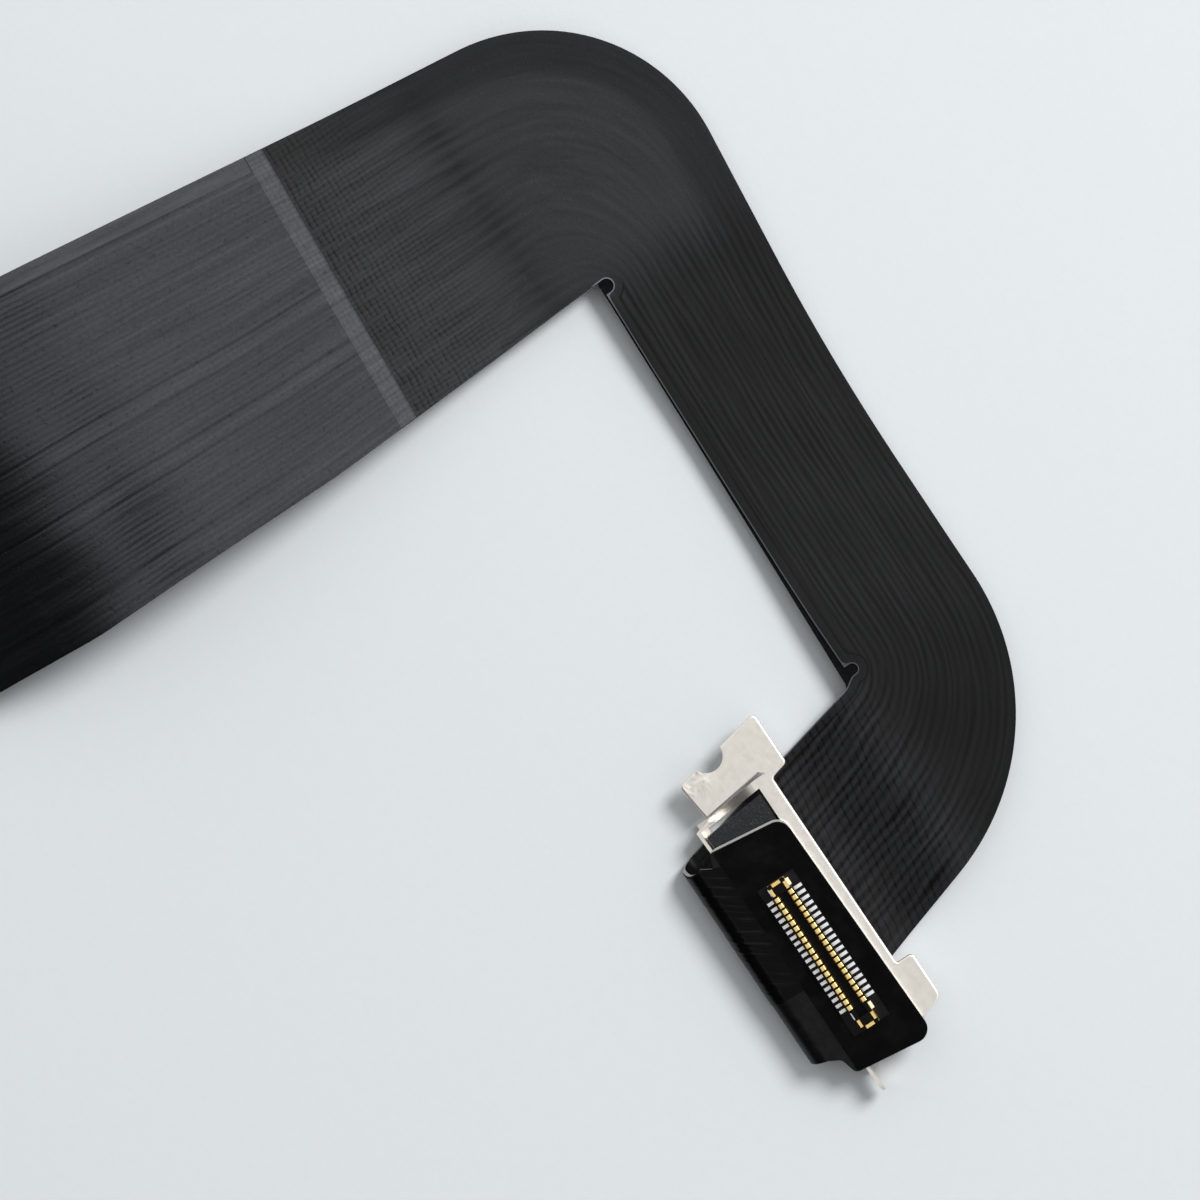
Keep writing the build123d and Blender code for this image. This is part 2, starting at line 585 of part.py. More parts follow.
def main():
    """Make every piece and write one file for each."""
    power_a = power_contact(MIDDLE_X0, HOUSING_X0, TAB_SETBACK_A)
    power_b = power_contact(MIDDLE_X1, HOUSING_X1, TAB_SETBACK_B)
    nodes = {
        "flex_circuit": flex_circuit(),
        "shield_film": shield_film(),
        "seam_strip": seam_strip(),
        "fold_tape": fold_tape(),
        "pad_film": pad_film(),
        "pad_stiffener": pad_stiffener(),
        "bracket": bracket(),
        "backing_pad": backing_pad(),
        "connector_housing": connector_housing([power_a, power_b]),
        "power_contact_a": power_a,
        "power_contact_b": power_b,
        "tail_stiffener": tail_stiffener(),
        "tail_fingers": tail_fingers(),
    }
    for index in range(CONTACTS):
        nodes[f"contact_a{index + 1:02d}"] = contact(index, 1, CONTACT_R)
        nodes[f"contact_b{index + 1:02d}"] = contact(index, -1, CONTACT_R)
    os.makedirs("parts", exist_ok=True)
    for name, shape in nodes.items():
        export_step(shape, f"parts/{name}.step")


main()
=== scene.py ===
import bpy
import math
import numpy as np
from mathutils import Vector, Matrix


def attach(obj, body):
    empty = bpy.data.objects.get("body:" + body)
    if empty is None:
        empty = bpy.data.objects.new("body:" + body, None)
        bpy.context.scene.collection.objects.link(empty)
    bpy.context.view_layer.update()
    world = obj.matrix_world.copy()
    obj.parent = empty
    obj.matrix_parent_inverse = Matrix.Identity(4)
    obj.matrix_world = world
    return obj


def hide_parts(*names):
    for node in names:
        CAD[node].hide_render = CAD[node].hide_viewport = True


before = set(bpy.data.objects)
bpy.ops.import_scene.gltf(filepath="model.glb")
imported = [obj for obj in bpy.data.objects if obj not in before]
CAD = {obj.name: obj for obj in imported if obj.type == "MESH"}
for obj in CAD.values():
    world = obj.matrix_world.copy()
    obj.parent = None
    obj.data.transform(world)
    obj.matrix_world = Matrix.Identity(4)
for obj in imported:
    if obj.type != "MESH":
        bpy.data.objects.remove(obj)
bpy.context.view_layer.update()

# Sizes are in millimetres unless a comment says otherwise. new_piece brings meshes to metres.
MM = 0.001

# Camera, with its lengths in metres. The photograph looks down at the cable, turned 56 degrees,
# and leans a little towards the middle arm.
IMAGE_UP = Vector((-0.8290, 0.5592, 0.0))
TARGET = Vector((-24.55, 0.63, 2.1)) * MM
LEAN = math.radians(6.0)
DISTANCE = 0.30
FRAME_W = 70.59 * MM
SENSOR_W = 36.0

toward = Vector((0.0, math.sin(LEAN), math.cos(LEAN)))
cam_data = bpy.data.cameras.new("photo_camera")
cam = bpy.data.objects.new("photo_camera", cam_data)
bpy.context.scene.collection.objects.link(cam)
cam_z = toward.normalized()
cam_x = IMAGE_UP.cross(cam_z).normalized()
cam_y = cam_z.cross(cam_x).normalized()
cam.matrix_world = Matrix((
    (cam_x.x, cam_y.x, cam_z.x, 0),
    (cam_x.y, cam_y.y, cam_z.y, 0),
    (cam_x.z, cam_y.z, cam_z.z, 0),
    (0, 0, 0, 1),
))
cam.location = TARGET + cam_z * DISTANCE
cam_data.sensor_width = SENSOR_W
cam_data.lens = SENSOR_W * DISTANCE / FRAME_W
cam_data.clip_start = 0.01
cam_data.clip_end = 10.0
bpy.context.scene.camera = cam

bpy.context.scene.view_settings.view_transform = "Standard"
bpy.context.scene.view_settings.look = "None"

REFRACTION = 1.5


class Mat:
    """A node material and short ways to add nodes to it."""

    def __init__(self, name, base, rough, metallic=0.0, spec=0.5):
        self.mat = bpy.data.materials.new(name)
        self.mat.use_nodes = True
        self.tree = self.mat.node_tree
        self.bsdf = self.tree.nodes["Principled BSDF"]
        self.bsdf.inputs["Base Color"].default_value = (*base, 1)
        self.bsdf.inputs["Roughness"].default_value = rough
        self.bsdf.inputs["Metallic"].default_value = metallic
        self.bsdf.inputs["Specular IOR Level"].default_value = spec
        self.bsdf.inputs["IOR"].default_value = REFRACTION

    def node(self, kind, **settings):
        n = self.tree.nodes.new(kind)
        for key, value in settings.items():
            setattr(n, key, value)
        return n

    def link(self, a, b):
        self.tree.links.new(a, b)

    def put(self, socket, value):
        if isinstance(value, bpy.types.NodeSocket):
            self.link(value, socket)
        else:
            socket.default_value = value

    def uv(self, name):
        """The two measures that a mesh carries in one of its UV maps."""
        n = self.node("ShaderNodeUVMap", uv_map=name)
        sep = self.node("ShaderNodeSeparateXYZ")
        self.link(n.outputs[0], sep.inputs[0])
        return sep.outputs[0], sep.outputs[1]

    def position(self):
        """Object coordinates in millimetres."""
        tc = self.node("ShaderNodeTexCoord")
        n = self.node("ShaderNodeVectorMath", operation="SCALE")
        self.link(tc.outputs["Object"], n.inputs[0])
        n.inputs["Scale"].default_value = 1 / MM
        return n.outputs[0]

    def xyz(self, vector):
        sep = self.node("ShaderNodeSeparateXYZ")
        self.link(vector, sep.inputs[0])
        return sep.outputs[0], sep.outputs[1], sep.outputs[2]

    def math(self, op, a, b=0.0, c=None, clamp=False):
        n = self.node("ShaderNodeMath", operation=op, use_clamp=clamp)
        self.put(n.inputs[0], a)
        self.put(n.inputs[1], b)
        if c is not None:
            self.put(n.inputs[2], c)
        return n.outputs[0]

    def times(self, *values):
        product = values[0]
        for value in values[1:]:
            product = self.math("MULTIPLY", product, value)
        return product

    def total(self, start, *parts):
        """The start plus each part's value times its weight."""
        for value, weight in parts:
            start = self.math("MULTIPLY_ADD", value, weight, start)
        return start

    def centred(self, value):
        return self.math("SUBTRACT", value, 0.5)

    def wave(self, value, pitch):
        """A sine from -1 to 1 that repeats at a pitch."""
        return self.math("SINE", self.math("MULTIPLY", value, 2 * math.pi / pitch))

    def lines(self, value, pitch, sharpness):
        """Lines from 0 to 1 at a pitch, thinner as the sharpness grows."""
        return self.math("POWER", self.math("MULTIPLY_ADD", self.wave(value, pitch), 0.5, 0.5), sharpness)

    def band(self, value, centre, reach, full):
        """1 where the value is within full of the centre, and 0 beyond its reach."""
        return self.ramp(self.math("ABSOLUTE", self.math("SUBTRACT", value, centre)), reach, full)

    def stretched(self, a, a_scale, b, b_scale):
        """Two measures, each with its own scale, as a vector for a noise."""
        n = self.node("ShaderNodeCombineXYZ")
        self.put(n.inputs[0], self.math("MULTIPLY", a, a_scale))
        self.put(n.inputs[1], self.math("MULTIPLY", b, b_scale))
        return n.outputs[0]

    def noise(self, vector, scale, detail=2.0, rough=0.5, distortion=0.0):
        n = self.node("ShaderNodeTexNoise")
        self.link(vector, n.inputs["Vector"])
        n.inputs["Scale"].default_value = scale
        n.inputs["Detail"].default_value = detail
        n.inputs["Roughness"].default_value = rough
        n.inputs["Distortion"].default_value = distortion
        return n.outputs["Fac"]

    def ramp(self, value, lo, hi, out_lo=0.0, out_hi=1.0):
        """A smooth step of the value between two limits."""
        n = self.node("ShaderNodeMapRange", interpolation_type="SMOOTHSTEP")
        self.put(n.inputs["Value"], value)
        n.inputs["From Min"].default_value = lo
        n.inputs["From Max"].default_value = hi
        n.inputs["To Min"].default_value = out_lo
        n.inputs["To Max"].default_value = out_hi
        return n.outputs[0]

    def mix(self, fac, a, b):
        n = self.node("ShaderNodeMix", data_type="RGBA")
        self.put(n.inputs[0], fac)
        for socket, value in ((n.inputs[6], a), (n.inputs[7], b)):
            if isinstance(value, tuple):
                socket.default_value = (*value, 1)
            else:
                self.link(value, socket)
        return n.outputs[2]

    def bump(self, height, distance, strength=1.0):
        """Height in units of distance, which is in metres."""
        n = self.node("ShaderNodeBump")
        n.inputs["Strength"].default_value = strength
        n.inputs["Distance"].default_value = distance
        self.link(height, n.inputs["Height"])
        self.link(n.outputs[0], self.bsdf.inputs["Normal"])

    def colour(self, socket):
        self.link(socket, self.bsdf.inputs["Base Color"])

    def colour_times(self, socket, amount):
        """A colour made lighter or darker by an amount."""
        n = self.node("ShaderNodeVectorMath", operation="SCALE")
        self.link(socket, n.inputs[0])
        self.put(n.inputs["Scale"], amount)
        self.colour(n.outputs[0])

    def rough(self, socket):
        self.link(socket, self.bsdf.inputs["Roughness"])


def dress(node, mat):
    o = CAD[node]
    o.data.materials.clear()
    o.data.materials.append(mat)


SHARP_ANGLE = math.radians(40)


def new_piece(name, verts, faces, mats, slots=None):
    """A smooth mesh with its steep edges kept sharp."""
    me = bpy.data.meshes.new(name)
    me.from_pydata([tuple(v) for v in verts * MM], [], faces)
    for m in mats:
        me.materials.append(m)
    if slots is not None:
        me.polygons.foreach_set("material_index", np.asarray(slots, dtype=np.int32))
    me.polygons.foreach_set("use_smooth", np.full(len(faces), True, dtype=bool))
    me.update()
    me.set_sharp_from_angle(angle=SHARP_ANGLE)
    o = bpy.data.objects.new(name, me)
    bpy.context.scene.collection.objects.link(o)
    return o


# Lines
def rounded(points, radii, step=0.25):
    """A dense line through the points with its corners rounded, as an array."""
    pts = [np.array(p, float) for p in points]
    out = [pts[0]]
    for i in range(1, len(pts) - 1):
        a, b, c = pts[i - 1], pts[i], pts[i + 1]
        r = radii[i - 1]
        if r <= 0:
            out.append(b)
            continue
        u = (a - b) / np.linalg.norm(a - b)
        v = (c - b) / np.linalg.norm(c - b)
        angle = math.acos(np.clip(np.dot(u, v), -1, 1))
        cut = r / math.tan(angle / 2)
        centre = b + (u + v) / np.linalg.norm(u + v) * r / math.sin(angle / 2)
        p0 = b + u * cut
        p1 = b + v * cut
        a0 = math.atan2(*(p0 - centre)[::-1])
        a1 = math.atan2(*(p1 - centre)[::-1])
        turn = (a1 - a0 + math.pi) % (2 * math.pi) - math.pi
        n = max(3, int(abs(turn) * r / step))
        for k in range(n + 1):
            t = a0 + turn * k / n
            out.append(centre + r * np.array([math.cos(t), math.sin(t)]))
    out.append(pts[-1])
    return np.array(out)


def length_along(line):
    return np.concatenate([[0], np.cumsum(np.linalg.norm(np.diff(line, axis=0), axis=1))])


def resample(line, n):
    s = length_along(line)
    t = np.linspace(0, s[-1], n)
    return np.column_stack([np.interp(t, s, line[:, k]) for k in range(line.shape[1])])


def nearest(line, place):
    return int(np.argmin(np.linalg.norm(line - np.array(place), axis=1)))


def span(line, a, b):
    """The stretch of a line between the points nearest to two given ones."""
    return line[nearest(line, a):nearest(line, b) + 1]


def distance_to(points, line):
    """Each point's distance to a line, and the length along the line to the nearest place on it."""
    a = line[:-1]
    d = np.diff(line, axis=0)
    long = np.linalg.norm(d, axis=1)
    start = length_along(line)
    best = np.full(len(points), 1e9)
    along = np.zeros(len(points))
    for k in range(len(d)):
        if long[k] < 1e-9:
            continue
        t = np.clip((points - a[k]) @ d[k] / long[k] ** 2, 0, 1)
        gap = np.linalg.norm(points - a[k] - t[:, None] * d[k], axis=1)
        near = gap < best
        best[near] = gap[near]
        along[near] = start[k] + t[near] * long[k]
    return best, along


# Sheet stock and the fold
FLEX_T = 0.20
FILM_T = 0.05
FOLD_Y = -3.35
FOLD_R = 1.05
FOLD_SHIFT = 0.43
FOLD_INNER_X = -8.94
FOLD_OUTER_X = 4.65

# Heights that the relaxed cable stands at, as side profiles with rounded corners
TAIL_Z = 0.2
ARCH_Z = 5.3
LIFT_Z = 1.1
SAG_Z = 0.75
WIDE_SIDE = rounded([(-48, TAIL_Z), (-39, TAIL_Z), (-21.5, ARCH_Z), (3.5, LIFT_Z), (12, LIFT_Z)], [30, 30, 30])
MIDDLE_SIDE = rounded([(-40, LIFT_Z), (-34.5, LIFT_Z), (-25.5, SAG_Z), (-16.5, LIFT_Z), (-10, LIFT_Z)],
                      [60, 120, 60])
LAST_SIDE = rounded([(FOLD_Y, 0), (4.6, 0), (8.9, LIFT_Z), (30, LIFT_Z)], [8, 8])

# Where one side profile gives way to the next
WIDE_END_X = -37
LAST_START_X = -14
MIDDLE_START_Y = 7


def ground_z(x, y):
    """Underside height of the lying sheet."""
    wide = np.interp(y, WIDE_SIDE[:, 0], WIDE_SIDE[:, 1])
    middle = np.interp(x, MIDDLE_SIDE[:, 0], MIDDLE_SIDE[:, 1])
    last = np.interp(y, LAST_SIDE[:, 0], LAST_SIDE[:, 1])
    on_middle = (x < LAST_START_X) & (y > MIDDLE_START_Y)
    return np.where(x < WIDE_END_X, wide, np.where(on_middle, middle, last))


LONG_SWAY = 0.045
SHORT_SWAY = 0.022


def sway(x, y):
    """The slight unevenness of a relaxed sheet, none near the fold and the tail."""
    a = LONG_SWAY * np.sin(0.43 * x + 0.21 * y + 0.5) * np.sin(0.16 * y - 0.1 * x)
    b = SHORT_SWAY * np.sin(0.95 * x - 0.33 * y + 1.7) * np.cos(0.41 * y + 0.3)
    past_fold = np.clip((y - 5.5) / 4, 0, 1) + (x < -30)
    past_tail = np.clip((y + 42) / 8, 0, 1)
    return (a + b) * np.clip(past_fold, 0, 1) * past_tail


# Plan of the circuit
TAIL_END_Y = -48
TAIL_OUTER_X = -61
TAIL_INNER_X = -40.4
TAIL_CORNER = 0.5
FLARE_END_Y = -25.8
FLARE_R = 20
CORNER_1 = (-54.60, 22.40)
CORNER_1_R = 11.2
OUTER_BEND = (-28.4, 19.69)
OUTER_BEND_R = 140
CORNER_2 = (-2.85, 19.65)
CORNER_2_R = 14.9
SLANT_END_Y = -38.3
SLANT_Y = -25.0
WIDE_INNER_X = -39.2
INNER_FLARE_Y = -8.0
WIDE_INNER_END = (-40.10, 10.8)
NOTCH_1_AT = (-39.67, 11.20)
NOTCH_1_R = 0.43
NOTCH_2_AT = (-12.92, 10.66)
NOTCH_2_R = 0.33
NOTCH_STEPS = 16
MIDDLE_START_X = -39.24
LOWER_END_Y = 9.84
FOLD_START = (FOLD_INNER_X, FOLD_Y)

OUTER = rounded([(TAIL_OUTER_X + TAIL_CORNER, TAIL_END_Y), (TAIL_OUTER_X, TAIL_END_Y + TAIL_CORNER),
                 (TAIL_OUTER_X, FLARE_END_Y), CORNER_1, OUTER_BEND, CORNER_2, (FOLD_OUTER_X, FOLD_Y)],
                [0, FLARE_R, CORNER_1_R, OUTER_BEND_R, CORNER_2_R])
WIDE_INNER_POINTS = [(TAIL_INNER_X, TAIL_END_Y), (TAIL_INNER_X, SLANT_END_Y), (WIDE_INNER_X, SLANT_Y),
                     (WIDE_INNER_X, INNER_FLARE_Y), WIDE_INNER_END]
INNER_WIDE = rounded(WIDE_INNER_POINTS, [FLARE_R, FLARE_R, FLARE_R])


def notch(centre, radius):
    """The round end of a relief notch, from its -X side to its +X side."""
    turns = np.linspace(math.pi, 0, NOTCH_STEPS)
    return np.array([(centre[0] + radius * math.cos(a), centre[1] + radius * math.sin(a)) for a in turns])


NOTCH_1 = notch(NOTCH_1_AT, NOTCH_1_R)
NOTCH_2 = notch(NOTCH_2_AT, NOTCH_2_R)
# The upper ply's edge draws back from the lower ply's along the middle arm
UPPER_MIDDLE = np.array([(MIDDLE_START_X, 10.92), (-34.0, 10.72), (-27.0, 10.50), (-20.0, 10.32),
                         (-16.5, 10.28), (-13.25, 10.30)])
LOWER_MIDDLE = np.array([(MIDDLE_START_X, WIDE_INNER_END[1]), (-13.25, LOWER_END_Y)])
UPPER_LAST = rounded([(-12.59, 10.66), (-12.55, 10.35), (-12.12, 9.70), FOLD_START], [0.4, 0.8], 0.05)
LOWER_LAST = rounded([(-13.25, LOWER_END_Y), (-12.07, 9.80), FOLD_START], [0.5], 0.05)
DENSE_OUTER = resample(OUTER, 2400)
WEST_END = (-55.3, 14.9)
WEST = DENSE_OUTER[:nearest(DENSE_OUTER, WEST_END)]


def outer_x(y):
    """X of the wide arm's outer edge."""
    return np.interp(y, WEST[:, 1], WEST[:, 0])


def inner_x(y):
    """X of the wide arm's inner edge."""
    return np.interp(y, INNER_WIDE[:, 1], INNER_WIDE[:, 0])


# The mesh's columns across the strip, with narrow ones beside both cut edges
COLUMNS = 72
RIM_STEPS = (0.0, 0.05, 0.10)


def across(width):
    """Fractions across the strip, with narrow columns beside both cut edges."""
    rim = np.array(RIM_STEPS) / width
    return np.concatenate([rim, np.linspace(rim[-1], 1 - rim[-1], COLUMNS)[1:-1], (1 - rim)[::-1]])


# Places on the outer edge that face the turns of the inner edge, and how many rows lie between them
WIDE_ROWS_END_Y = 7.6
OUTER_STOPS = ((-56.7, WIDE_ROWS_END_Y), (-55.3, 14.6), (-38.6, 20.75), (-37.4, 20.62), (-14.2, 19.65),
               (-13.4, 19.64), (-0.5, 12.0), (0.42, 10.0), (FOLD_OUTER_X, FOLD_Y))
ROWS_BETWEEN = (14, 46, 4, 62, 4, 40, 12, 54)
LOWER_NOTCH_2_END = (-12.6, 9.82)
LAST_STRAIGHT = (-12.02, 9.3)


def inner_lines(upper):
    """The inner edge of one ply as a line for each pair of neighbouring stops on the outer edge."""
    corner_y = NOTCH_1_AT[1] if upper else WIDE_INNER_END[1]
    middle = UPPER_MIDDLE if upper else LOWER_MIDDLE
    last = UPPER_LAST if upper else LOWER_LAST
    to_corner = np.array([(-39.95, WIDE_ROWS_END_Y), (WIDE_INNER_END[0], corner_y)])
    from_corner = np.array([(MIDDLE_START_X, corner_y), middle[0]])
    straight = np.vstack([last[:-1], resample(last[-2:], 300)])
    if upper:
        corner_1 = NOTCH_1
        to_notch = np.array([middle[-1], (-13.25, NOTCH_2_AT[1])])
        corner_2 = NOTCH_2
        past_notch = span(last, last[0], LAST_STRAIGHT)
    else:
        corner_1 = np.array([WIDE_INNER_END, (-39.26, corner_y)])
        to_notch = last[:2]
        corner_2 = span(last, last[1], LOWER_NOTCH_2_END)
        past_notch = span(last, LOWER_NOTCH_2_END, LAST_STRAIGHT)
    return (to_corner, corner_1, from_corner, middle, to_notch, corner_2, past_notch,
            span(straight, LAST_STRAIGHT, FOLD_START))


def stations(upper):
    """The rows across the lying sheet from the tail to the fold, as pairs of an inner and an outer point."""
    ys = np.concatenate([np.linspace(-47.95, -40, 12)[:-1], np.linspace(-40, WIDE_ROWS_END_Y, 110)])
    inner = [np.column_stack([inner_x(ys), ys])]
    outer = [np.column_stack([outer_x(ys), ys])]
    for line, a, b, n in zip(inner_lines(upper), OUTER_STOPS[:-1], OUTER_STOPS[1:], ROWS_BETWEEN):
        inner.append(resample(line, n)[1:])
        outer.append(resample(span(DENSE_OUTER, a, b), n)[1:])
    return zip(np.vstack(inner), np.vstack(outer))


def sheet_row(x, y, z, facing, top, bottom, folded=False):
    """A row of a sheet: points, the (y, z) way its upper face looks, and both faces' heights that way."""
    return dict(x=x, y=0 * x + y, z=0 * x + z, facing=facing, top=top, bottom=bottom, folded=folded)


def lying_rows(upper):
    rows = []
    for p, q in stations(upper):
        f = across(np.linalg.norm(q - p))
        x = p[0] * (1 - f) + q[0] * f
        y = p[1] * (1 - f) + q[1] * f
        z = ground_z(x, y) + sway(x, y) + FLEX_T / 2
        top = FLEX_T / 2 if upper else 0.0
        bottom = 0.0 if upper else -FLEX_T / 2
        rows.append(sheet_row(x, y, z, (0.0, 1.0), top, bottom))
    return rows


FOLD_BOW = 0.26
FOLD_STEPS = 24
PAD_STEPS = 60
PAD_LEFT = rounded([(-8.08, FOLD_Y), (-7.66, -2.66), (-8.55, -2.36), (-7.95, 2.42), (-6.6, 2.45)],
                   [0.12, 0.25, 0.85], 0.03)
PAD_RIGHT = rounded([(5.51, FOLD_Y), (5.90, -2.66), (6.98, -2.36), (7.60, 2.75), (6.2, 2.72)],
                    [0.25, 0.42, 0.85], 0.03)
PAD_LEFT_TOP_Y = 2.40
PAD_RIGHT_TOP_Y = 2.74


def fold_edge(turn):
    """X of the fold's -X edge, which bows inwards over the upper half of the turn from 0 to 1."""
    bow = FOLD_BOW * math.sin(2 * math.pi * (turn - 0.5)) if turn > 0.5 else 0.0
    return FOLD_INNER_X + 2 * FOLD_SHIFT * turn + bow


def pad_side(line, top_y):
    """One side of the bridge and the pad, ending just before the line's last point."""
    return np.vstack([resample(line[line[:, 1] < top_y], PAD_STEPS), [line[-2]]])


def fold_rows():
    """The fold, a half ring about a line along X with slanting edges, then the bridge and the pad."""
    rows = []
    r = FOLD_R - FLEX_T / 2
    for k in range(1, FOLD_STEPS + 1):
        angle = math.radians(270 - 180 * k / FOLD_STEPS)
        turn = k / FOLD_STEPS
        left = fold_edge(turn)
        right = FOLD_OUTER_X + 2 * FOLD_SHIFT * turn
        f = across(right - left)
        x = left * (1 - f) + right * f
        rows.append(sheet_row(x, FOLD_Y + r * math.cos(angle), FOLD_R + r * math.sin(angle),
                              (-math.cos(angle), -math.sin(angle)), FLEX_T / 2, -FLEX_T / 2, True))
    for p, q in zip(pad_side(PAD_LEFT, PAD_LEFT_TOP_Y)[1:], pad_side(PAD_RIGHT, PAD_RIGHT_TOP_Y)[1:]):
        f = across(q[0] - p[0])
        x = p[0] * (1 - f) + q[0] * f
        y = p[1] * (1 - f) + q[1] * f
        rows.append(sheet_row(x, y, 2 * FOLD_R - FLEX_T / 2, (0.0, -1.0), FLEX_T / 2, -FLEX_T / 2, True))
    return rows


# The upper ply's inner edge, and the plainer line beside it that the printed lanes follow
INNER = np.vstack([INNER_WIDE[:-1], [(WIDE_INNER_END[0], NOTCH_1_AT[1])], NOTCH_1, UPPER_MIDDLE, NOTCH_2,
                   UPPER_LAST])
LANE_INNER = rounded([*WIDE_INNER_POINTS, (-12.75, 10.3), FOLD_START],
                     [FLARE_R, FLARE_R, FLARE_R, 0.8, 0.8], 0.1)


def lane_share(flat, d_out):
    """How far across the strip each point lies, from 0 at the outer edge to 1 at the inner one."""
    d_lane = distance_to(flat, LANE_INNER)[0]
    return d_out / np.maximum(d_out + d_lane, 1e-6)


def surface(rows, side):
    """The points of a sheet's top or bottom face, row after row."""
    faces = []
    for row in rows:
        y = row["y"] + row["facing"][0] * row[side]
        z = row["z"] + row["facing"][1] * row[side]
        faces.append(np.column_stack([row["x"], y, z]))
    return np.vstack(faces)


def closed_sheet(rows):
    """A thin closed sheet over rows of points: its points, its faces, and each face's side and row."""
    n = len(rows)
    c = len(rows[0]["x"])
    under = n * c
    faces = []
    sides = []
    for i in range(n - 1):
        for a in range(i * c, i * c + c - 1):
            faces.append((a, a + c, a + c + 1, a + 1))
            sides.append(("top", i + 1))
            faces.append((under + a, under + a + 1, under + a + c + 1, under + a + c))
            sides.append(("bottom", i + 1))
        for a, flip in ((i * c, False), (i * c + c - 1, True)):
            quad = (a, under + a, under + a + c, a + c)
            faces.append(quad[::-1] if flip else quad)
            sides.append(("cut", i + 1))
    for i, flip in ((0, True), (n - 1, False)):
        for a in range(i * c, i * c + c - 1):
            quad = (a, under + a, under + a + 1, a + 1)
            faces.append(quad[::-1] if flip else quad)
            sides.append(("cut", i))
    return np.vstack([surface(rows, "top"), surface(rows, "bottom")]), faces, sides


def put_uvs(o, maps):
    loops = np.empty(len(o.data.loops), np.int32)
    o.data.loops.foreach_get("vertex_index", loops)
    for name, values in maps.items():
        o.data.uv_layers.new(name=name).data.foreach_set("uv", values[loops].astype(np.float32).ravel())


FACE_SLOT = 0
BACK_SLOT = 1
EDGE_SLOT = 2


def slot_of(side, folded):
    """The printed face is the top of the lying sheet, and cut edges show light round the fold and the pad."""
    if side == "top" and not folded:
        return FACE_SLOT
    if side == "cut" and folded:
        return EDGE_SLOT
    return BACK_SLOT


def sheet_piece(name, rows, mats, lane_count):
    """A sheet with the lane and edge measures that its materials read. Lanes count from the outer edge."""
    verts, faces, sides = closed_sheet(rows)
    slots = [slot_of(side, rows[row]["folded"]) for side, row in sides] if len(mats) > 1 else None
    o = new_piece(name, verts, faces, mats, slots)
    flat = np.vstack([np.column_stack([row["x"], row["y"]]) for row in rows])
    d_out, along = distance_to(flat, OUTER)
    d_in = distance_to(flat, INNER)[0]
    lanes = np.column_stack([lane_share(flat, d_out) * lane_count, along])
    edges = np.column_stack([d_out, d_in])
    put_uvs(o, {"lane": np.vstack([lanes, lanes]), "edge": np.vstack([edges, edges])})
    return o


# Seam: the line across the wide arm where the shield film ends and the seam strip begins
SEAM_IN = -3.44
SEAM_SLOPE = 0.065
SEAM_W = 1.13
BEFORE_SEAM = SEAM_IN - 0.06
PAST_SEAM = SEAM_IN + 0.04

# Pitches of the printed pattern, the ridges' in lanes and the others' in millimetres
RIDGE_PITCH = 0.43
FINE_PITCH = 0.30
CROSS_PITCH = 0.36
CROSSING_PITCH = 0.50
FILM_RIDGE_PITCH = 0.31
SEAM_GRID_PITCH = 0.30

# Reach of the bump, in metres
FLEX_BUMP = 0.000010
FILM_BUMP = 0.000012

# Colours of the circuit's printed face, some of them painted sheen and painted shade
FLEX_DARK = (0.0050, 0.0052, 0.0056)
# Painted sheen for the wide arm and corner 1
FLEX_PAINTED_SHEEN = (0.0205, 0.0213, 0.0233)
PATCH_TONE = (0.0078, 0.0080, 0.0087)
OUTER_TONE = (0.0030, 0.0032, 0.0035)
# Painted sheen and painted shade for the bare strip beside the film, before and past the wide arm's crest
BESIDE_PAINTED_SHEEN = (0.036, 0.0375, 0.041)
BESIDE_PAINTED_SHADE = (0.0015, 0.0015, 0.0017)
# Painted shade for corner 2
CORNER_2_PAINTED_SHADE = (0.0010, 0.0011, 0.0014)
LAST_TONE = (0.0115, 0.0118, 0.0128)


def across_seam(m, x, y):
    """Y of a place, taken along the seam's slant to the wide arm's inner edge."""
    return m.math("MULTIPLY_ADD", m.math("ADD", x, -WIDE_INNER_X), SEAM_SLOPE, y)


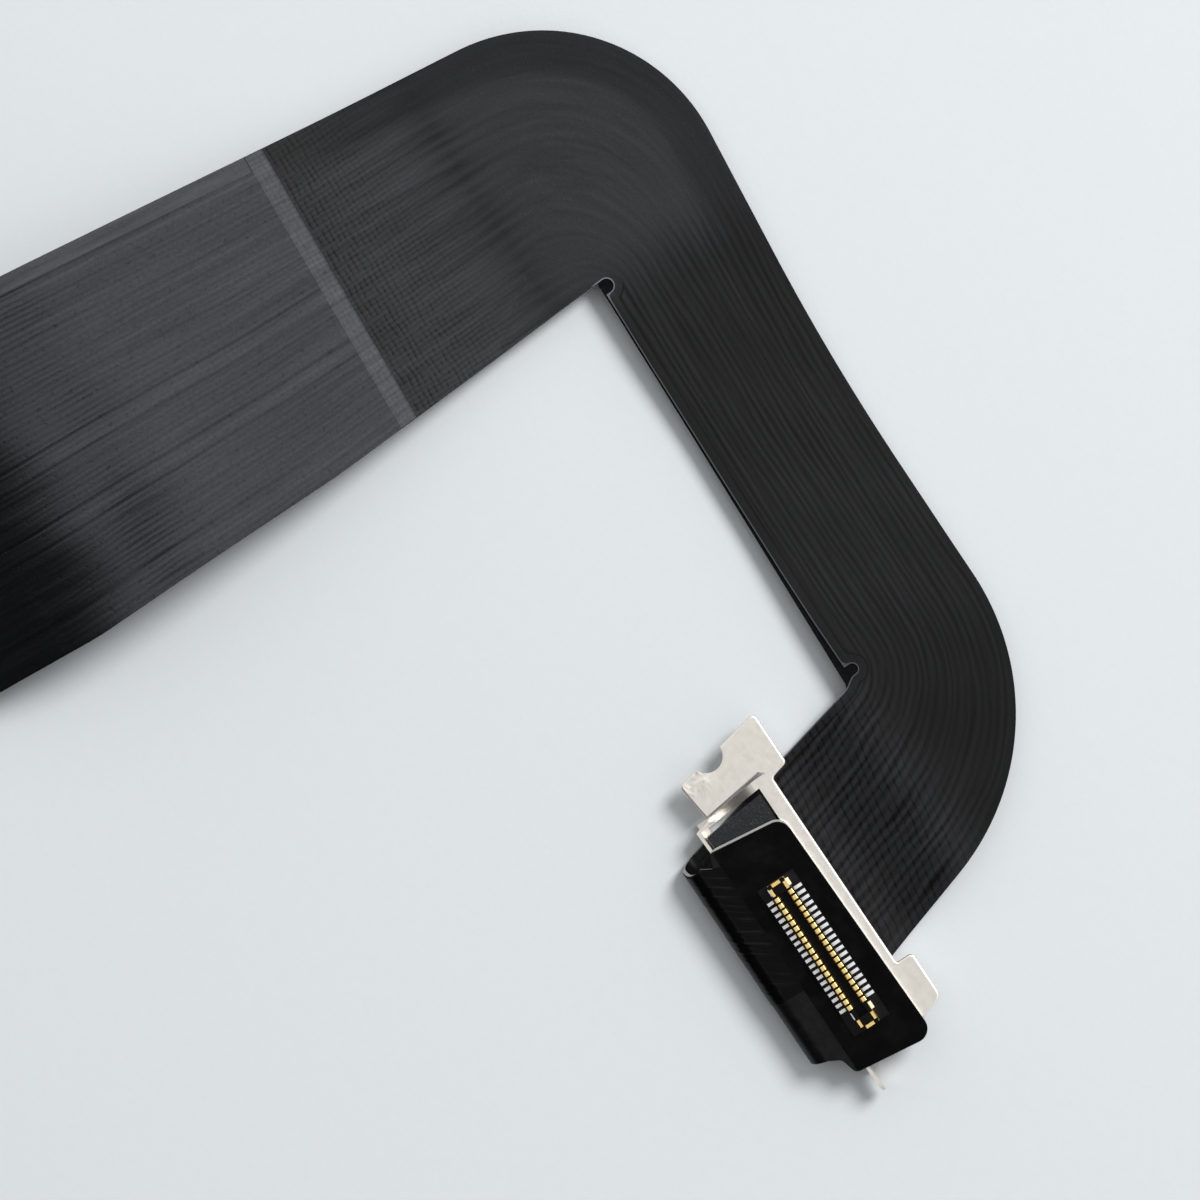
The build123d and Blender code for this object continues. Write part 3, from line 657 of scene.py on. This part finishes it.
def flex_material():
    m = Mat("flex_face", (0.008, 0.008, 0.009), 0.46, spec=0.17)
    lane, along = m.uv("lane")
    d_out, d_in = m.uv("edge")
    pos = m.position()
    x, y = m.xyz(pos)[:2]
    seam_y = across_seam(m, x, y)
    # Where each kind of surface shows
    wide = m.times(m.ramp(x, -36.5, -38.5), m.ramp(y, 10.5, 5.0))
    corner = m.times(m.ramp(x, -37.0, -42.0), m.ramp(y, 5.0, 10.0))
    last_arm = m.times(m.ramp(x, -14.0, -10.0), m.ramp(y, 13.5, 8.5))
    last_inner = m.times(m.ramp(x, -14.0, -12.5), m.ramp(y, 10.5, 9.0))
    last = m.math("MAXIMUM", last_arm, last_inner)
    plain = m.math("MAXIMUM", wide, m.math("MULTIPLY", corner, 0.92))
    ridged = m.math("SUBTRACT", 1.0, plain, clamp=True)
    ridged = m.times(ridged, m.ramp(d_in, 0.50, 0.75), m.ramp(d_out, 0.25, 0.55))
    uncovered = m.ramp(seam_y, BEFORE_SEAM, PAST_SEAM)
    patch = m.times(wide, m.ramp(y, 6.5, -2.5), uncovered)
    # Ridges beside each other along the arms, unevenly spaced
    wander = m.noise(m.stretched(lane, 0.55, along, 0.07), 1.0, 3.0, 0.6)
    fade = m.ramp(m.noise(m.stretched(lane, 1.1, along, 0.13), 1.0, 2.0), 0.30, 0.65, 0.35, 1.0)
    ridge = m.times(m.wave(m.math("ADD", wander, lane), RIDGE_PITCH), ridged, fade)
    streak = m.noise(m.stretched(lane, 3.0, along, 0.10), 1.0, 3.0, 0.65)
    # Hatched copper plane under the film: fine lines along the arm and across it
    wobble = m.math("MULTIPLY", m.noise(pos, 0.7, 2.0), 0.7)
    broken = m.ramp(m.noise(m.stretched(x, 2.4, y, 1.2), 1.0, 2.0, 0.6), 0.34, 0.60)
    cross = m.lines(m.total(y, (x, 0.06), (wobble, 0.5)), CROSS_PITCH, 2.0)
    hatch = m.times(cross, broken, patch)
    fine = m.wave(m.total(x, (wobble, 0.35)), FINE_PITCH)
    fine = m.times(fine, wide, m.ramp(y, 9.0, 1.0, 0.15, 1.0), uncovered)
    # Cross lines over the last arm's ridges, nearly in line with the folded end
    crossing = m.lines(m.total(y, (x, 0.18), (wobble, 0.55)), CROSSING_PITCH, 6.0)
    diamond = m.times(crossing, last, m.math("MULTIPLY_ADD", broken, 0.7, 0.3))
    # Specks and grain, most of the specks in the corner
    speck = m.ramp(m.noise(pos, 3.4, 2.0, 0.6, 1.2), 0.62, 0.72)
    speck = m.times(speck, m.math("MULTIPLY_ADD", corner, 0.8, 0.10))
    grain = m.noise(pos, 5.5, 3.0, 0.65)
    height = m.total(0.0, (ridge, 0.40), (streak, 0.55), (fine, 0.12), (hatch, -0.8), (diamond, -0.75),
                     (speck, 0.6), (grain, 0.30))
    m.bump(height, FLEX_BUMP)
    # Colour: dark grey, lightened by painted sheen towards the wide arm and corner 1, with the lines showing
    # through
    tone = m.mix(m.math("MAXIMUM", wide, m.math("MULTIPLY", corner, 0.8)), FLEX_DARK, FLEX_PAINTED_SHEEN)
    tone = m.mix(m.math("MULTIPLY", patch, 0.75), tone, PATCH_TONE)
    outer_dark = m.times(m.ramp(d_out, 3.2, 1.6), m.ramp(x, -20.0, -40.0))
    tone = m.mix(m.math("MULTIPLY", outer_dark, 0.6), tone, OUTER_TONE)
    beside_film = m.times(m.ramp(x, -36.5, -38.5), m.ramp(seam_y, PAST_SEAM, BEFORE_SEAM))
    # Beside the film, painted sheen on the rising side before the arch's crest, and painted shade past it
    tone = m.mix(m.times(beside_film, m.ramp(y, -26.0, -19.0)), tone, BESIDE_PAINTED_SHEEN)
    tone = m.mix(m.times(beside_film, m.ramp(y, -19.0, -26.0)), tone, BESIDE_PAINTED_SHADE)
    # Painted shade that darkens corner 2
    corner_2 = m.times(m.ramp(x, -16.0, -8.0), m.ramp(y, 5.0, 12.0))
    tone = m.mix(m.math("MULTIPLY", corner_2, 0.7), tone, CORNER_2_PAINTED_SHADE)
    tone = m.mix(m.math("MULTIPLY", last, 0.8), tone, LAST_TONE)
    # A bright cut edge along the middle arm, with a groove beside it that only painted shade darkens, as the
    # bump leaves it out
    lit = m.math("MAXIMUM", m.ramp(x, -39.15, -38.95), m.ramp(y, 10.3, 10.8))
    rim = m.times(m.ramp(d_in, 0.09, 0.05), lit)
    groove = m.times(m.band(d_in, 0.58, 0.10, 0.02), m.ramp(x, -39.8, -38.8))
    streak_weight = m.math("MULTIPLY_ADD", corner, -0.9, 1.7)
    light = m.total(1.0, (ridge, 0.62), (m.centred(streak), streak_weight), (fine, 0.26), (hatch, -0.85),
                    (diamond, -0.75), (m.centred(grain), 0.60), (rim, 8.0), (groove, -0.85))
    m.colour_times(tone, m.math("MAXIMUM", light, 0.05))
    m.rough(m.ramp(m.math("MULTIPLY_ADD", grain, 0.4, streak), 0.4, 1.0, 0.42, 0.52))
    return m.mat


def back_material(name, spec):
    m = Mat(name, (0.008, 0.008, 0.009), 0.34, spec=spec)
    n = m.noise(m.position(), 2.2, 3.0, 0.6)
    m.bump(n, 0.00001, 0.6)
    m.colour(m.mix(m.ramp(n, 0.35, 0.7), (0.0020, 0.0020, 0.0024), (0.0045, 0.0045, 0.005)))
    return m.mat


def edge_material():
    m = Mat("flex_edge", (0.16, 0.16, 0.16), 0.5)
    n = m.noise(m.position(), 6.0, 2.0)
    m.colour(m.mix(n, (0.10, 0.10, 0.10), (0.24, 0.24, 0.235)))
    return m.mat


FLEX_FACE = flex_material()
FLEX_BACK = back_material("flex_back", 0.15)
# The lower ply's face reflects less than the back: painted shade that keeps it near-black where it shows, in
# the notches and beside the middle arm's inner edge
UNDER_PLY_SHADE = back_material("flex_under_ply_shade", 0.05)
FLEX_EDGE = edge_material()
FLEX_LANES = 10

flex = sheet_piece("flex_sheet", lying_rows(True) + fold_rows(), [FLEX_FACE, FLEX_BACK, FLEX_EDGE], FLEX_LANES)
under = sheet_piece("flex_under_ply", lying_rows(False), [UNDER_PLY_SHADE, FLEX_BACK, FLEX_EDGE], FLEX_LANES)
for piece in (flex, under):
    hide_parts("flex_circuit")
    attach(piece, "root")


# Films on the wide arm
FILM_LANES = 18.4
FILM_MARGIN = 0.04
FILM_CLEAR = 0.004
SHIELD_END_Y = -44.15
SHIELD_MARGIN = 1.0
SEAM_GAP = 0.01

# Lanes that show lighter, as centre, half width and strength, and dark lines, as centre, half width and depth
LIGHT_LANES = ((9.50, 0.42, 0.17), (12.85, 0.42, 0.17), (1.45, 0.30, 0.12), (17.4, 0.5, 0.10))
DARK_LINES = ((9.00, 0.15, 0.9), (9.98, 0.14, 0.6), (10.75, 0.14, 0.35), (12.35, 0.15, 0.9),
              (13.33, 0.14, 0.6), (14.1, 0.14, 0.3), (1.05, 0.10, 0.8), (16.8, 0.16, 0.5))


def film_rows(y_from, y_to, slope_from, slope_to, margin_out, count):
    """Rows across the wide arm, at a Y of its inner edge and with a slant that changes evenly."""
    rows = []
    for k in range(count):
        t = k / (count - 1)
        y_in = y_from * (1 - t) + y_to * t
        slope = slope_from + (slope_to - slope_from) * t
        x_in = float(inner_x(y_in)) - FILM_MARGIN
        x_out = float(outer_x(y_in + slope * (float(outer_x(y_in)) - x_in))) + margin_out
        f = np.linspace(0, 1, COLUMNS)
        x = x_in * (1 - f) + x_out * f
        y = y_in + slope * (x - x_in)
        z = np.interp(y, WIDE_SIDE[:, 0], WIDE_SIDE[:, 1]) + sway(x, y) + FLEX_T + FILM_T / 2 + FILM_CLEAR
        rows.append(sheet_row(x, y, z, (0.0, 1.0), FILM_T / 2, -FILM_T / 2))
    return rows


def film_material(name, dark, light, seam=False):
    m = Mat(name, dark, 0.22, metallic=0.94)
    lane, along = m.uv("lane")
    pos = m.position()
    x, y = m.xyz(pos)[:2]
    wander = m.noise(m.stretched(lane, 0.5, along, 0.12), 1.0, 2.0)
    ridge = m.wave(m.total(lane, (wander, 0.5)), FILM_RIDGE_PITCH)
    streak = m.noise(m.stretched(lane, 2.6, along, 0.10), 1.0, 3.0, 0.6)
    dash = m.ramp(m.noise(m.stretched(lane, 3.2, along, 2.2), 1.0, 2.0, 0.6), 0.58, 0.72)
    grain = m.noise(pos, 5.0, 2.0, 0.6)
    height = m.total(0.0, (ridge, 0.14), (streak, 0.65), (dash, -0.28), (grain, 0.22))
    lightness = m.total(1.0, (ridge, 0.07), (m.centred(streak), 0.6), (dash, -0.22))
    if seam:
        grid = m.lines(m.total(y, (x, SEAM_SLOPE)), SEAM_GRID_PITCH, 3.0)
        border = m.ramp(across_seam(m, x, y), SEAM_IN + 0.98, SEAM_IN + 1.10)
        height = m.total(height, (grid, -0.20))
        lightness = m.total(lightness, (grid, -0.08), (border, -0.35))
    else:
        for centre, reach, strength in LIGHT_LANES:
            lightness = m.total(lightness, (m.band(lane, centre, reach, 0.08), strength))
        for centre, reach, depth in DARK_LINES:
            groove = m.band(lane, centre, reach, 0.02)
            height = m.total(height, (groove, -depth))
            lightness = m.total(lightness, (groove, -0.24 * depth))
    m.bump(height, FILM_BUMP)
    m.colour_times(m.mix(m.ramp(grain, 0.3, 0.7), dark, light), lightness)
    m.rough(m.ramp(streak, 0.3, 0.7, 0.20, 0.26))
    return m.mat


SHIELD = film_material("shield_film_face", (0.051, 0.0525, 0.057), (0.060, 0.062, 0.067))
SEAM = film_material("seam_face", (0.078, 0.0815, 0.088), (0.092, 0.096, 0.104), seam=True)
shield_rows = film_rows(SHIELD_END_Y, SEAM_IN, 0.0, -SEAM_SLOPE, SHIELD_MARGIN, 100)
shield = sheet_piece("shield_film_skin", shield_rows, [SHIELD], FILM_LANES)
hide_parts("shield_film")
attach(shield, "root")
seam_rows = film_rows(SEAM_IN + SEAM_GAP, SEAM_IN + SEAM_W, -SEAM_SLOPE, -SEAM_SLOPE, FILM_MARGIN, 6)
seam = sheet_piece("seam_strip_skin", seam_rows, [SEAM], FILM_LANES)
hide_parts("seam_strip")
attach(seam, "root")


# Wrinkled tape over the fold
TAPE_ROWS = 46
TAPE_COLUMNS = 190
TAPE_Y = -2.2
TAPE_FLAT = 1.15
TAPE_WRAP = 115
TAPE_LEFT = -7.52
TAPE_RIGHT = 1.20
TAPE_NARROWS = 0.30
TAPE_INSET = 0.13
TAPE_CLEAR = 0.002
WRINKLE_PITCH = 0.77
WRINKLE_H = 0.022
CREASE_PITCH = 0.41
CREASE_H = 0.009


def wrinkle(x, s):
    """Height of the tape's wrinkles at a place along the fold and a length down from the pad."""
    fade = np.clip((x + 7.9) / 1.5, 0, 1) * np.clip((1.0 - x) / 0.8, 0, 1) * np.clip(s / 0.4, 0, 1)
    phase = x + 0.675 * s + 0.12 * np.sin(1.1 * x + 1.3 * s)
    fold = np.maximum(0, np.sin(2 * math.pi * phase / WRINKLE_PITCH)) ** 6 * (0.6 + 0.4 * np.sin(1.7 * x + 0.4))
    crease = np.maximum(0, np.sin(2 * math.pi * (phase + 0.10 * s) / CREASE_PITCH + 1.0)) ** 4
    crease = crease * (0.5 + 0.5 * np.sin(2.3 * x + s))
    return fade * (WRINKLE_H * fold + CREASE_H * crease)


def tape_rows():
    """Rows of the tape from the pad over the bridge and round the fold's nose."""
    radius = FOLD_R + FILM_T
    arc = radius * math.radians(TAPE_WRAP)
    rows = []
    for k in range(TAPE_ROWS):
        s = (TAPE_FLAT + arc) * k / (TAPE_ROWS - 1)
        if s <= TAPE_FLAT:
            y = TAPE_Y - s
            z = 2 * FOLD_R
            facing = (0.0, 1.0)
            wrapped = 0.0
            left = TAPE_LEFT - FOLD_SHIFT * s / TAPE_FLAT
        else:
            a = math.radians(90) + (s - TAPE_FLAT) / radius
            y = FOLD_Y + FOLD_R * math.cos(a)
            z = FOLD_R + FOLD_R * math.sin(a)
            facing = (math.cos(a), math.sin(a))
            wrapped = (s - TAPE_FLAT) / arc
            left = fold_edge(1 - wrapped * TAPE_WRAP / 180) + TAPE_INSET
        right = TAPE_RIGHT - TAPE_NARROWS * min(1.0, wrapped * 1.3)
        x = np.linspace(left, right, TAPE_COLUMNS)
        rows.append(sheet_row(x, y, z, facing, FILM_T + wrinkle(x, s), TAPE_CLEAR))
    return rows


def tape_material():
    m = Mat("tape_face", (0.0014, 0.0014, 0.0016), 0.22, spec=0.14)
    pos = m.position()
    m.bump(m.noise(pos, 3.0, 3.0, 0.6), 0.000008, 0.6)
    m.colour(m.mix(m.noise(pos, 1.6, 3.0, 0.6), (0.0009, 0.0009, 0.0011), (0.0020, 0.0020, 0.0022)))
    return m.mat


tape_verts, tape_faces = closed_sheet(tape_rows())[:2]
tape = new_piece("fold_tape_skin", tape_verts, tape_faces, [tape_material()])
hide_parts("fold_tape")
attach(tape, "root")


# Rigid pieces
def gloss_film():
    m = Mat("pad_gloss", (0.0012, 0.0012, 0.0014), 0.14, spec=0.29)
    pos = m.position()
    n = m.noise(pos, 0.8, 3.0, 0.6)
    m.bump(m.noise(pos, 0.5, 2.0), 0.00002, 0.25)
    m.rough(m.ramp(n, 0.3, 0.8, 0.11, 0.18))
    m.colour(m.mix(n, (0.0009, 0.0009, 0.0011), (0.0018, 0.0018, 0.0020)))
    return m.mat


def nickel():
    m = Mat("nickel", (0.82, 0.775, 0.71), 0.40, metallic=1.0)
    pos = m.position()
    x, y = m.xyz(pos)[:2]
    mottle = m.noise(pos, 2.4, 4.0, 0.65)
    fine = m.noise(pos, 9.0, 3.0, 0.6)
    brushed = m.noise(m.stretched(x, 1.2, y, 14.0), 1.0, 2.0, 0.6)
    speck = m.ramp(m.noise(pos, 7.0, 1.0, 0.5), 0.70, 0.78)
    shade = m.total(0.0, (mottle, 0.65), (brushed, 0.35))
    plate = m.mix(shade, (0.775, 0.730, 0.668), (0.865, 0.820, 0.752))
    m.colour(m.mix(m.math("MULTIPLY", speck, 0.35), plate, (0.45, 0.42, 0.38)))
    m.rough(m.ramp(shade, 0.3, 0.7, 0.37, 0.45))
    # Wavy pressed surface towards ear A's lower corner
    near = m.times(m.ramp(x, -11.2, -12.4), m.ramp(y, 0.6, -0.4))
    wavy = m.times(m.noise(pos, 1.3, 1.0, 0.5, 0.9), near)
    m.bump(m.total(0.0, (fine, 0.10), (wavy, 6.0)), 0.00001)
    return m.mat


def steel():
    m = Mat("rim_steel", (0.62, 0.61, 0.59), 0.34, metallic=1.0)
    n = m.noise(m.position(), 3.0, 3.0)
    m.colour(m.mix(n, (0.55, 0.54, 0.52), (0.68, 0.67, 0.65)))
    m.bump(n, 0.000005, 0.5)
    return m.mat


def block():
    m = Mat("block_face", (0.014, 0.0143, 0.0155), 0.36, spec=0.20)
    pos = m.position()
    swirl = m.math("SINE", m.math("MULTIPLY", m.noise(pos, 1.6, 2.0, 0.5, 1.6), 46.0))
    line = m.math("POWER", m.math("MULTIPLY_ADD", swirl, 0.5, 0.5), 5.0)
    pit = m.ramp(m.noise(pos, 3.4, 1.0, 0.5), 0.68, 0.76)
    grain = m.noise(pos, 8.0, 3.0, 0.65)
    m.bump(m.total(0.0, (grain, 0.5), (line, 0.35), (pit, -1.2)), 0.00002)
    m.colour(m.mix(m.total(0.0, (grain, 0.5), (line, 0.5)), (0.0080, 0.0082, 0.0090), (0.0220, 0.0224, 0.0242)))
    return m.mat


def housing():
    m = Mat("housing_face", (0.003, 0.003, 0.0034), 0.28, spec=0.08)
    n = m.noise(m.position(), 12.0, 3.0, 0.6)
    m.bump(n, 0.000003, 0.6)
    m.colour(m.mix(n, (0.0018, 0.0018, 0.0021), (0.0045, 0.0045, 0.0050)))
    return m.mat


GOLD = (0.95, 0.66, 0.24)
GOLD_DEEP = (0.95, 0.62, 0.19)
GOLD_PALE = (1.0, 0.74, 0.28)


def contact_metal():
    """Gold on the contact itself and tin on its solder tail, by distance from the plug's centre line."""
    m = Mat("contact_metal", GOLD, 0.42, metallic=1.0)
    pos = m.position()
    y = m.xyz(pos)[1]
    n = m.noise(pos, 7.0, 2.0)
    tail = m.ramp(m.math("ABSOLUTE", y), 0.69, 0.73)
    tin = m.mix(n, (0.92, 0.92, 0.91), (1.0, 1.0, 0.99))
    m.colour(m.mix(tail, m.mix(n, GOLD_DEEP, GOLD_PALE), tin))
    m.bump(n, 0.000004, 0.5)
    return m.mat


def power_metal():
    """Gold on the saddle and tin on its solder tabs."""
    m = Mat("power_metal", GOLD, 0.42, metallic=1.0)
    pos = m.position()
    y, z = m.xyz(pos)[1:]
    n = m.noise(pos, 7.0, 2.0)
    tab = m.times(m.ramp(m.math("ABSOLUTE", y), 0.56, 0.60), m.ramp(z, 2.5, 2.3))
    m.colour(m.mix(tab, m.mix(n, GOLD_DEEP, GOLD_PALE), (0.94, 0.94, 0.93)))
    m.bump(n, 0.000004, 0.5)
    return m.mat


def finger_metal():
    m = Mat("finger_metal", (0.80, 0.55, 0.2), 0.3, metallic=1.0)
    n = m.noise(m.position(), 4.0, 3.0)
    m.colour(m.mix(n, (0.74, 0.48, 0.15), (0.88, 0.62, 0.25)))
    m.bump(n, 0.000003, 0.5)
    return m.mat


def backing():
    m = Mat("tail_backing_face", (0.03, 0.03, 0.034), 0.45)
    n = m.noise(m.position(), 3.0, 3.0)
    m.colour(m.mix(n, (0.022, 0.022, 0.026), (0.04, 0.04, 0.045)))
    m.bump(n, 0.000006, 0.6)
    return m.mat


CONTACTS = 20

dress("pad_film", gloss_film())
dress("bracket", nickel())
dress("pad_stiffener", steel())
dress("backing_pad", block())
dress("connector_housing", housing())
dress("tail_fingers", finger_metal())
dress("tail_stiffener", backing())
CONTACT = contact_metal()
for row_name in "ab":
    for number in range(1, CONTACTS + 1):
        dress(f"contact_{row_name}{number:02d}", CONTACT)
POWER = power_metal()
dress("power_contact_a", POWER)
dress("power_contact_b", POWER)

# Floor, in metres
FLOOR_SIZE = 3.0
FLOOR_Z = -0.00002
bpy.ops.mesh.primitive_plane_add(size=FLOOR_SIZE, location=(0, 0, FLOOR_Z))
floor = bpy.context.object
floor.name = "floor"
floor_mat = Mat("floor_face", (0.50, 0.522, 0.532), 0.85, spec=0.1)
floor_pos = floor_mat.position()
floor_noise = floor_mat.noise(floor_pos, 1.2, 3.0, 0.6)
floor_mat.colour(floor_mat.mix(floor_noise, (0.492, 0.513, 0.523), (0.508, 0.530, 0.541)))
floor_mat.bump(floor_mat.noise(floor_pos, 2.5, 2.0, 0.6), 0.00002, 0.3)
floor.data.materials.append(floor_mat.mat)

# A broad softbox open towards +Y and -X, dark towards -Y, with a dark gap near the zenith
# that gloss pieces facing up reflect
OPEN_SIDE = (-0.30, 0.95, 0.0)
OPEN_FROM = -0.44
OPEN_FULL = -0.22
DARK_SIDE_LIGHT = 0.02
DARK_GAP = (0.09, -0.106, 0.990)
GAP_OUTER = math.cos(math.radians(8.5))
GAP_INNER = math.cos(math.radians(6.5))
GAP_LIGHT = 0.05
SKY_COLOUR = (0.985, 0.995, 1.0, 1)

world = bpy.data.worlds.new("studio")
bpy.context.scene.world = world
world.use_nodes = True
sky_tree = world.node_tree
sky_coordinates = sky_tree.nodes.new("ShaderNodeTexCoord")


def sky_towards(direction):
    """How much a direction of the sky agrees with a given one, from -1 to 1."""
    n = sky_tree.nodes.new("ShaderNodeVectorMath")
    n.operation = "DOT_PRODUCT"
    sky_tree.links.new(sky_coordinates.outputs["Generated"], n.inputs[0])
    n.inputs[1].default_value = Vector(direction).normalized()
    return n.outputs["Value"]


def sky_ramp(socket, lo, hi, out_lo, out_hi):
    n = sky_tree.nodes.new("ShaderNodeMapRange")
    n.interpolation_type = "SMOOTHSTEP"
    n.inputs["From Min"].default_value = lo
    n.inputs["From Max"].default_value = hi
    n.inputs["To Min"].default_value = out_lo
    n.inputs["To Max"].default_value = out_hi
    sky_tree.links.new(socket, n.inputs["Value"])
    return n.outputs[0]


sky = sky_tree.nodes.new("ShaderNodeMath")
sky.operation = "MULTIPLY"
sky_tree.links.new(sky_ramp(sky_towards(OPEN_SIDE), OPEN_FROM, OPEN_FULL, DARK_SIDE_LIGHT, 1.0), sky.inputs[0])
sky_tree.links.new(sky_ramp(sky_towards(DARK_GAP), GAP_OUTER, GAP_INNER, 1.0, GAP_LIGHT), sky.inputs[1])
background = sky_tree.nodes["Background"]
sky_tree.links.new(sky.outputs[0], background.inputs["Strength"])
background.inputs["Color"].default_value = SKY_COLOUR

# Key lamp, a soft disk. Lengths are in metres and power is in watts.
KEY_SIDE = (-0.19, 0.98, 0)
KEY_ELEVATION = math.radians(42)
KEY_DISTANCE = 0.75
KEY_SIZE = 0.30
KEY_POWER = 7.0
KEY_CENTRE = Vector((-0.024, 0.0, 0.0))

key_data = bpy.data.lights.new("key", "AREA")
key_data.shape = "DISK"
key_data.size = KEY_SIZE
key_data.energy = KEY_POWER
key = bpy.data.objects.new("key", key_data)
bpy.context.scene.collection.objects.link(key)
key_way = Vector(KEY_SIDE).normalized() * math.cos(KEY_ELEVATION)
key_way.z = math.sin(KEY_ELEVATION)
key.location = KEY_CENTRE + key_way * KEY_DISTANCE
key.rotation_euler = key_way.to_track_quat("Z", "Y").to_euler()
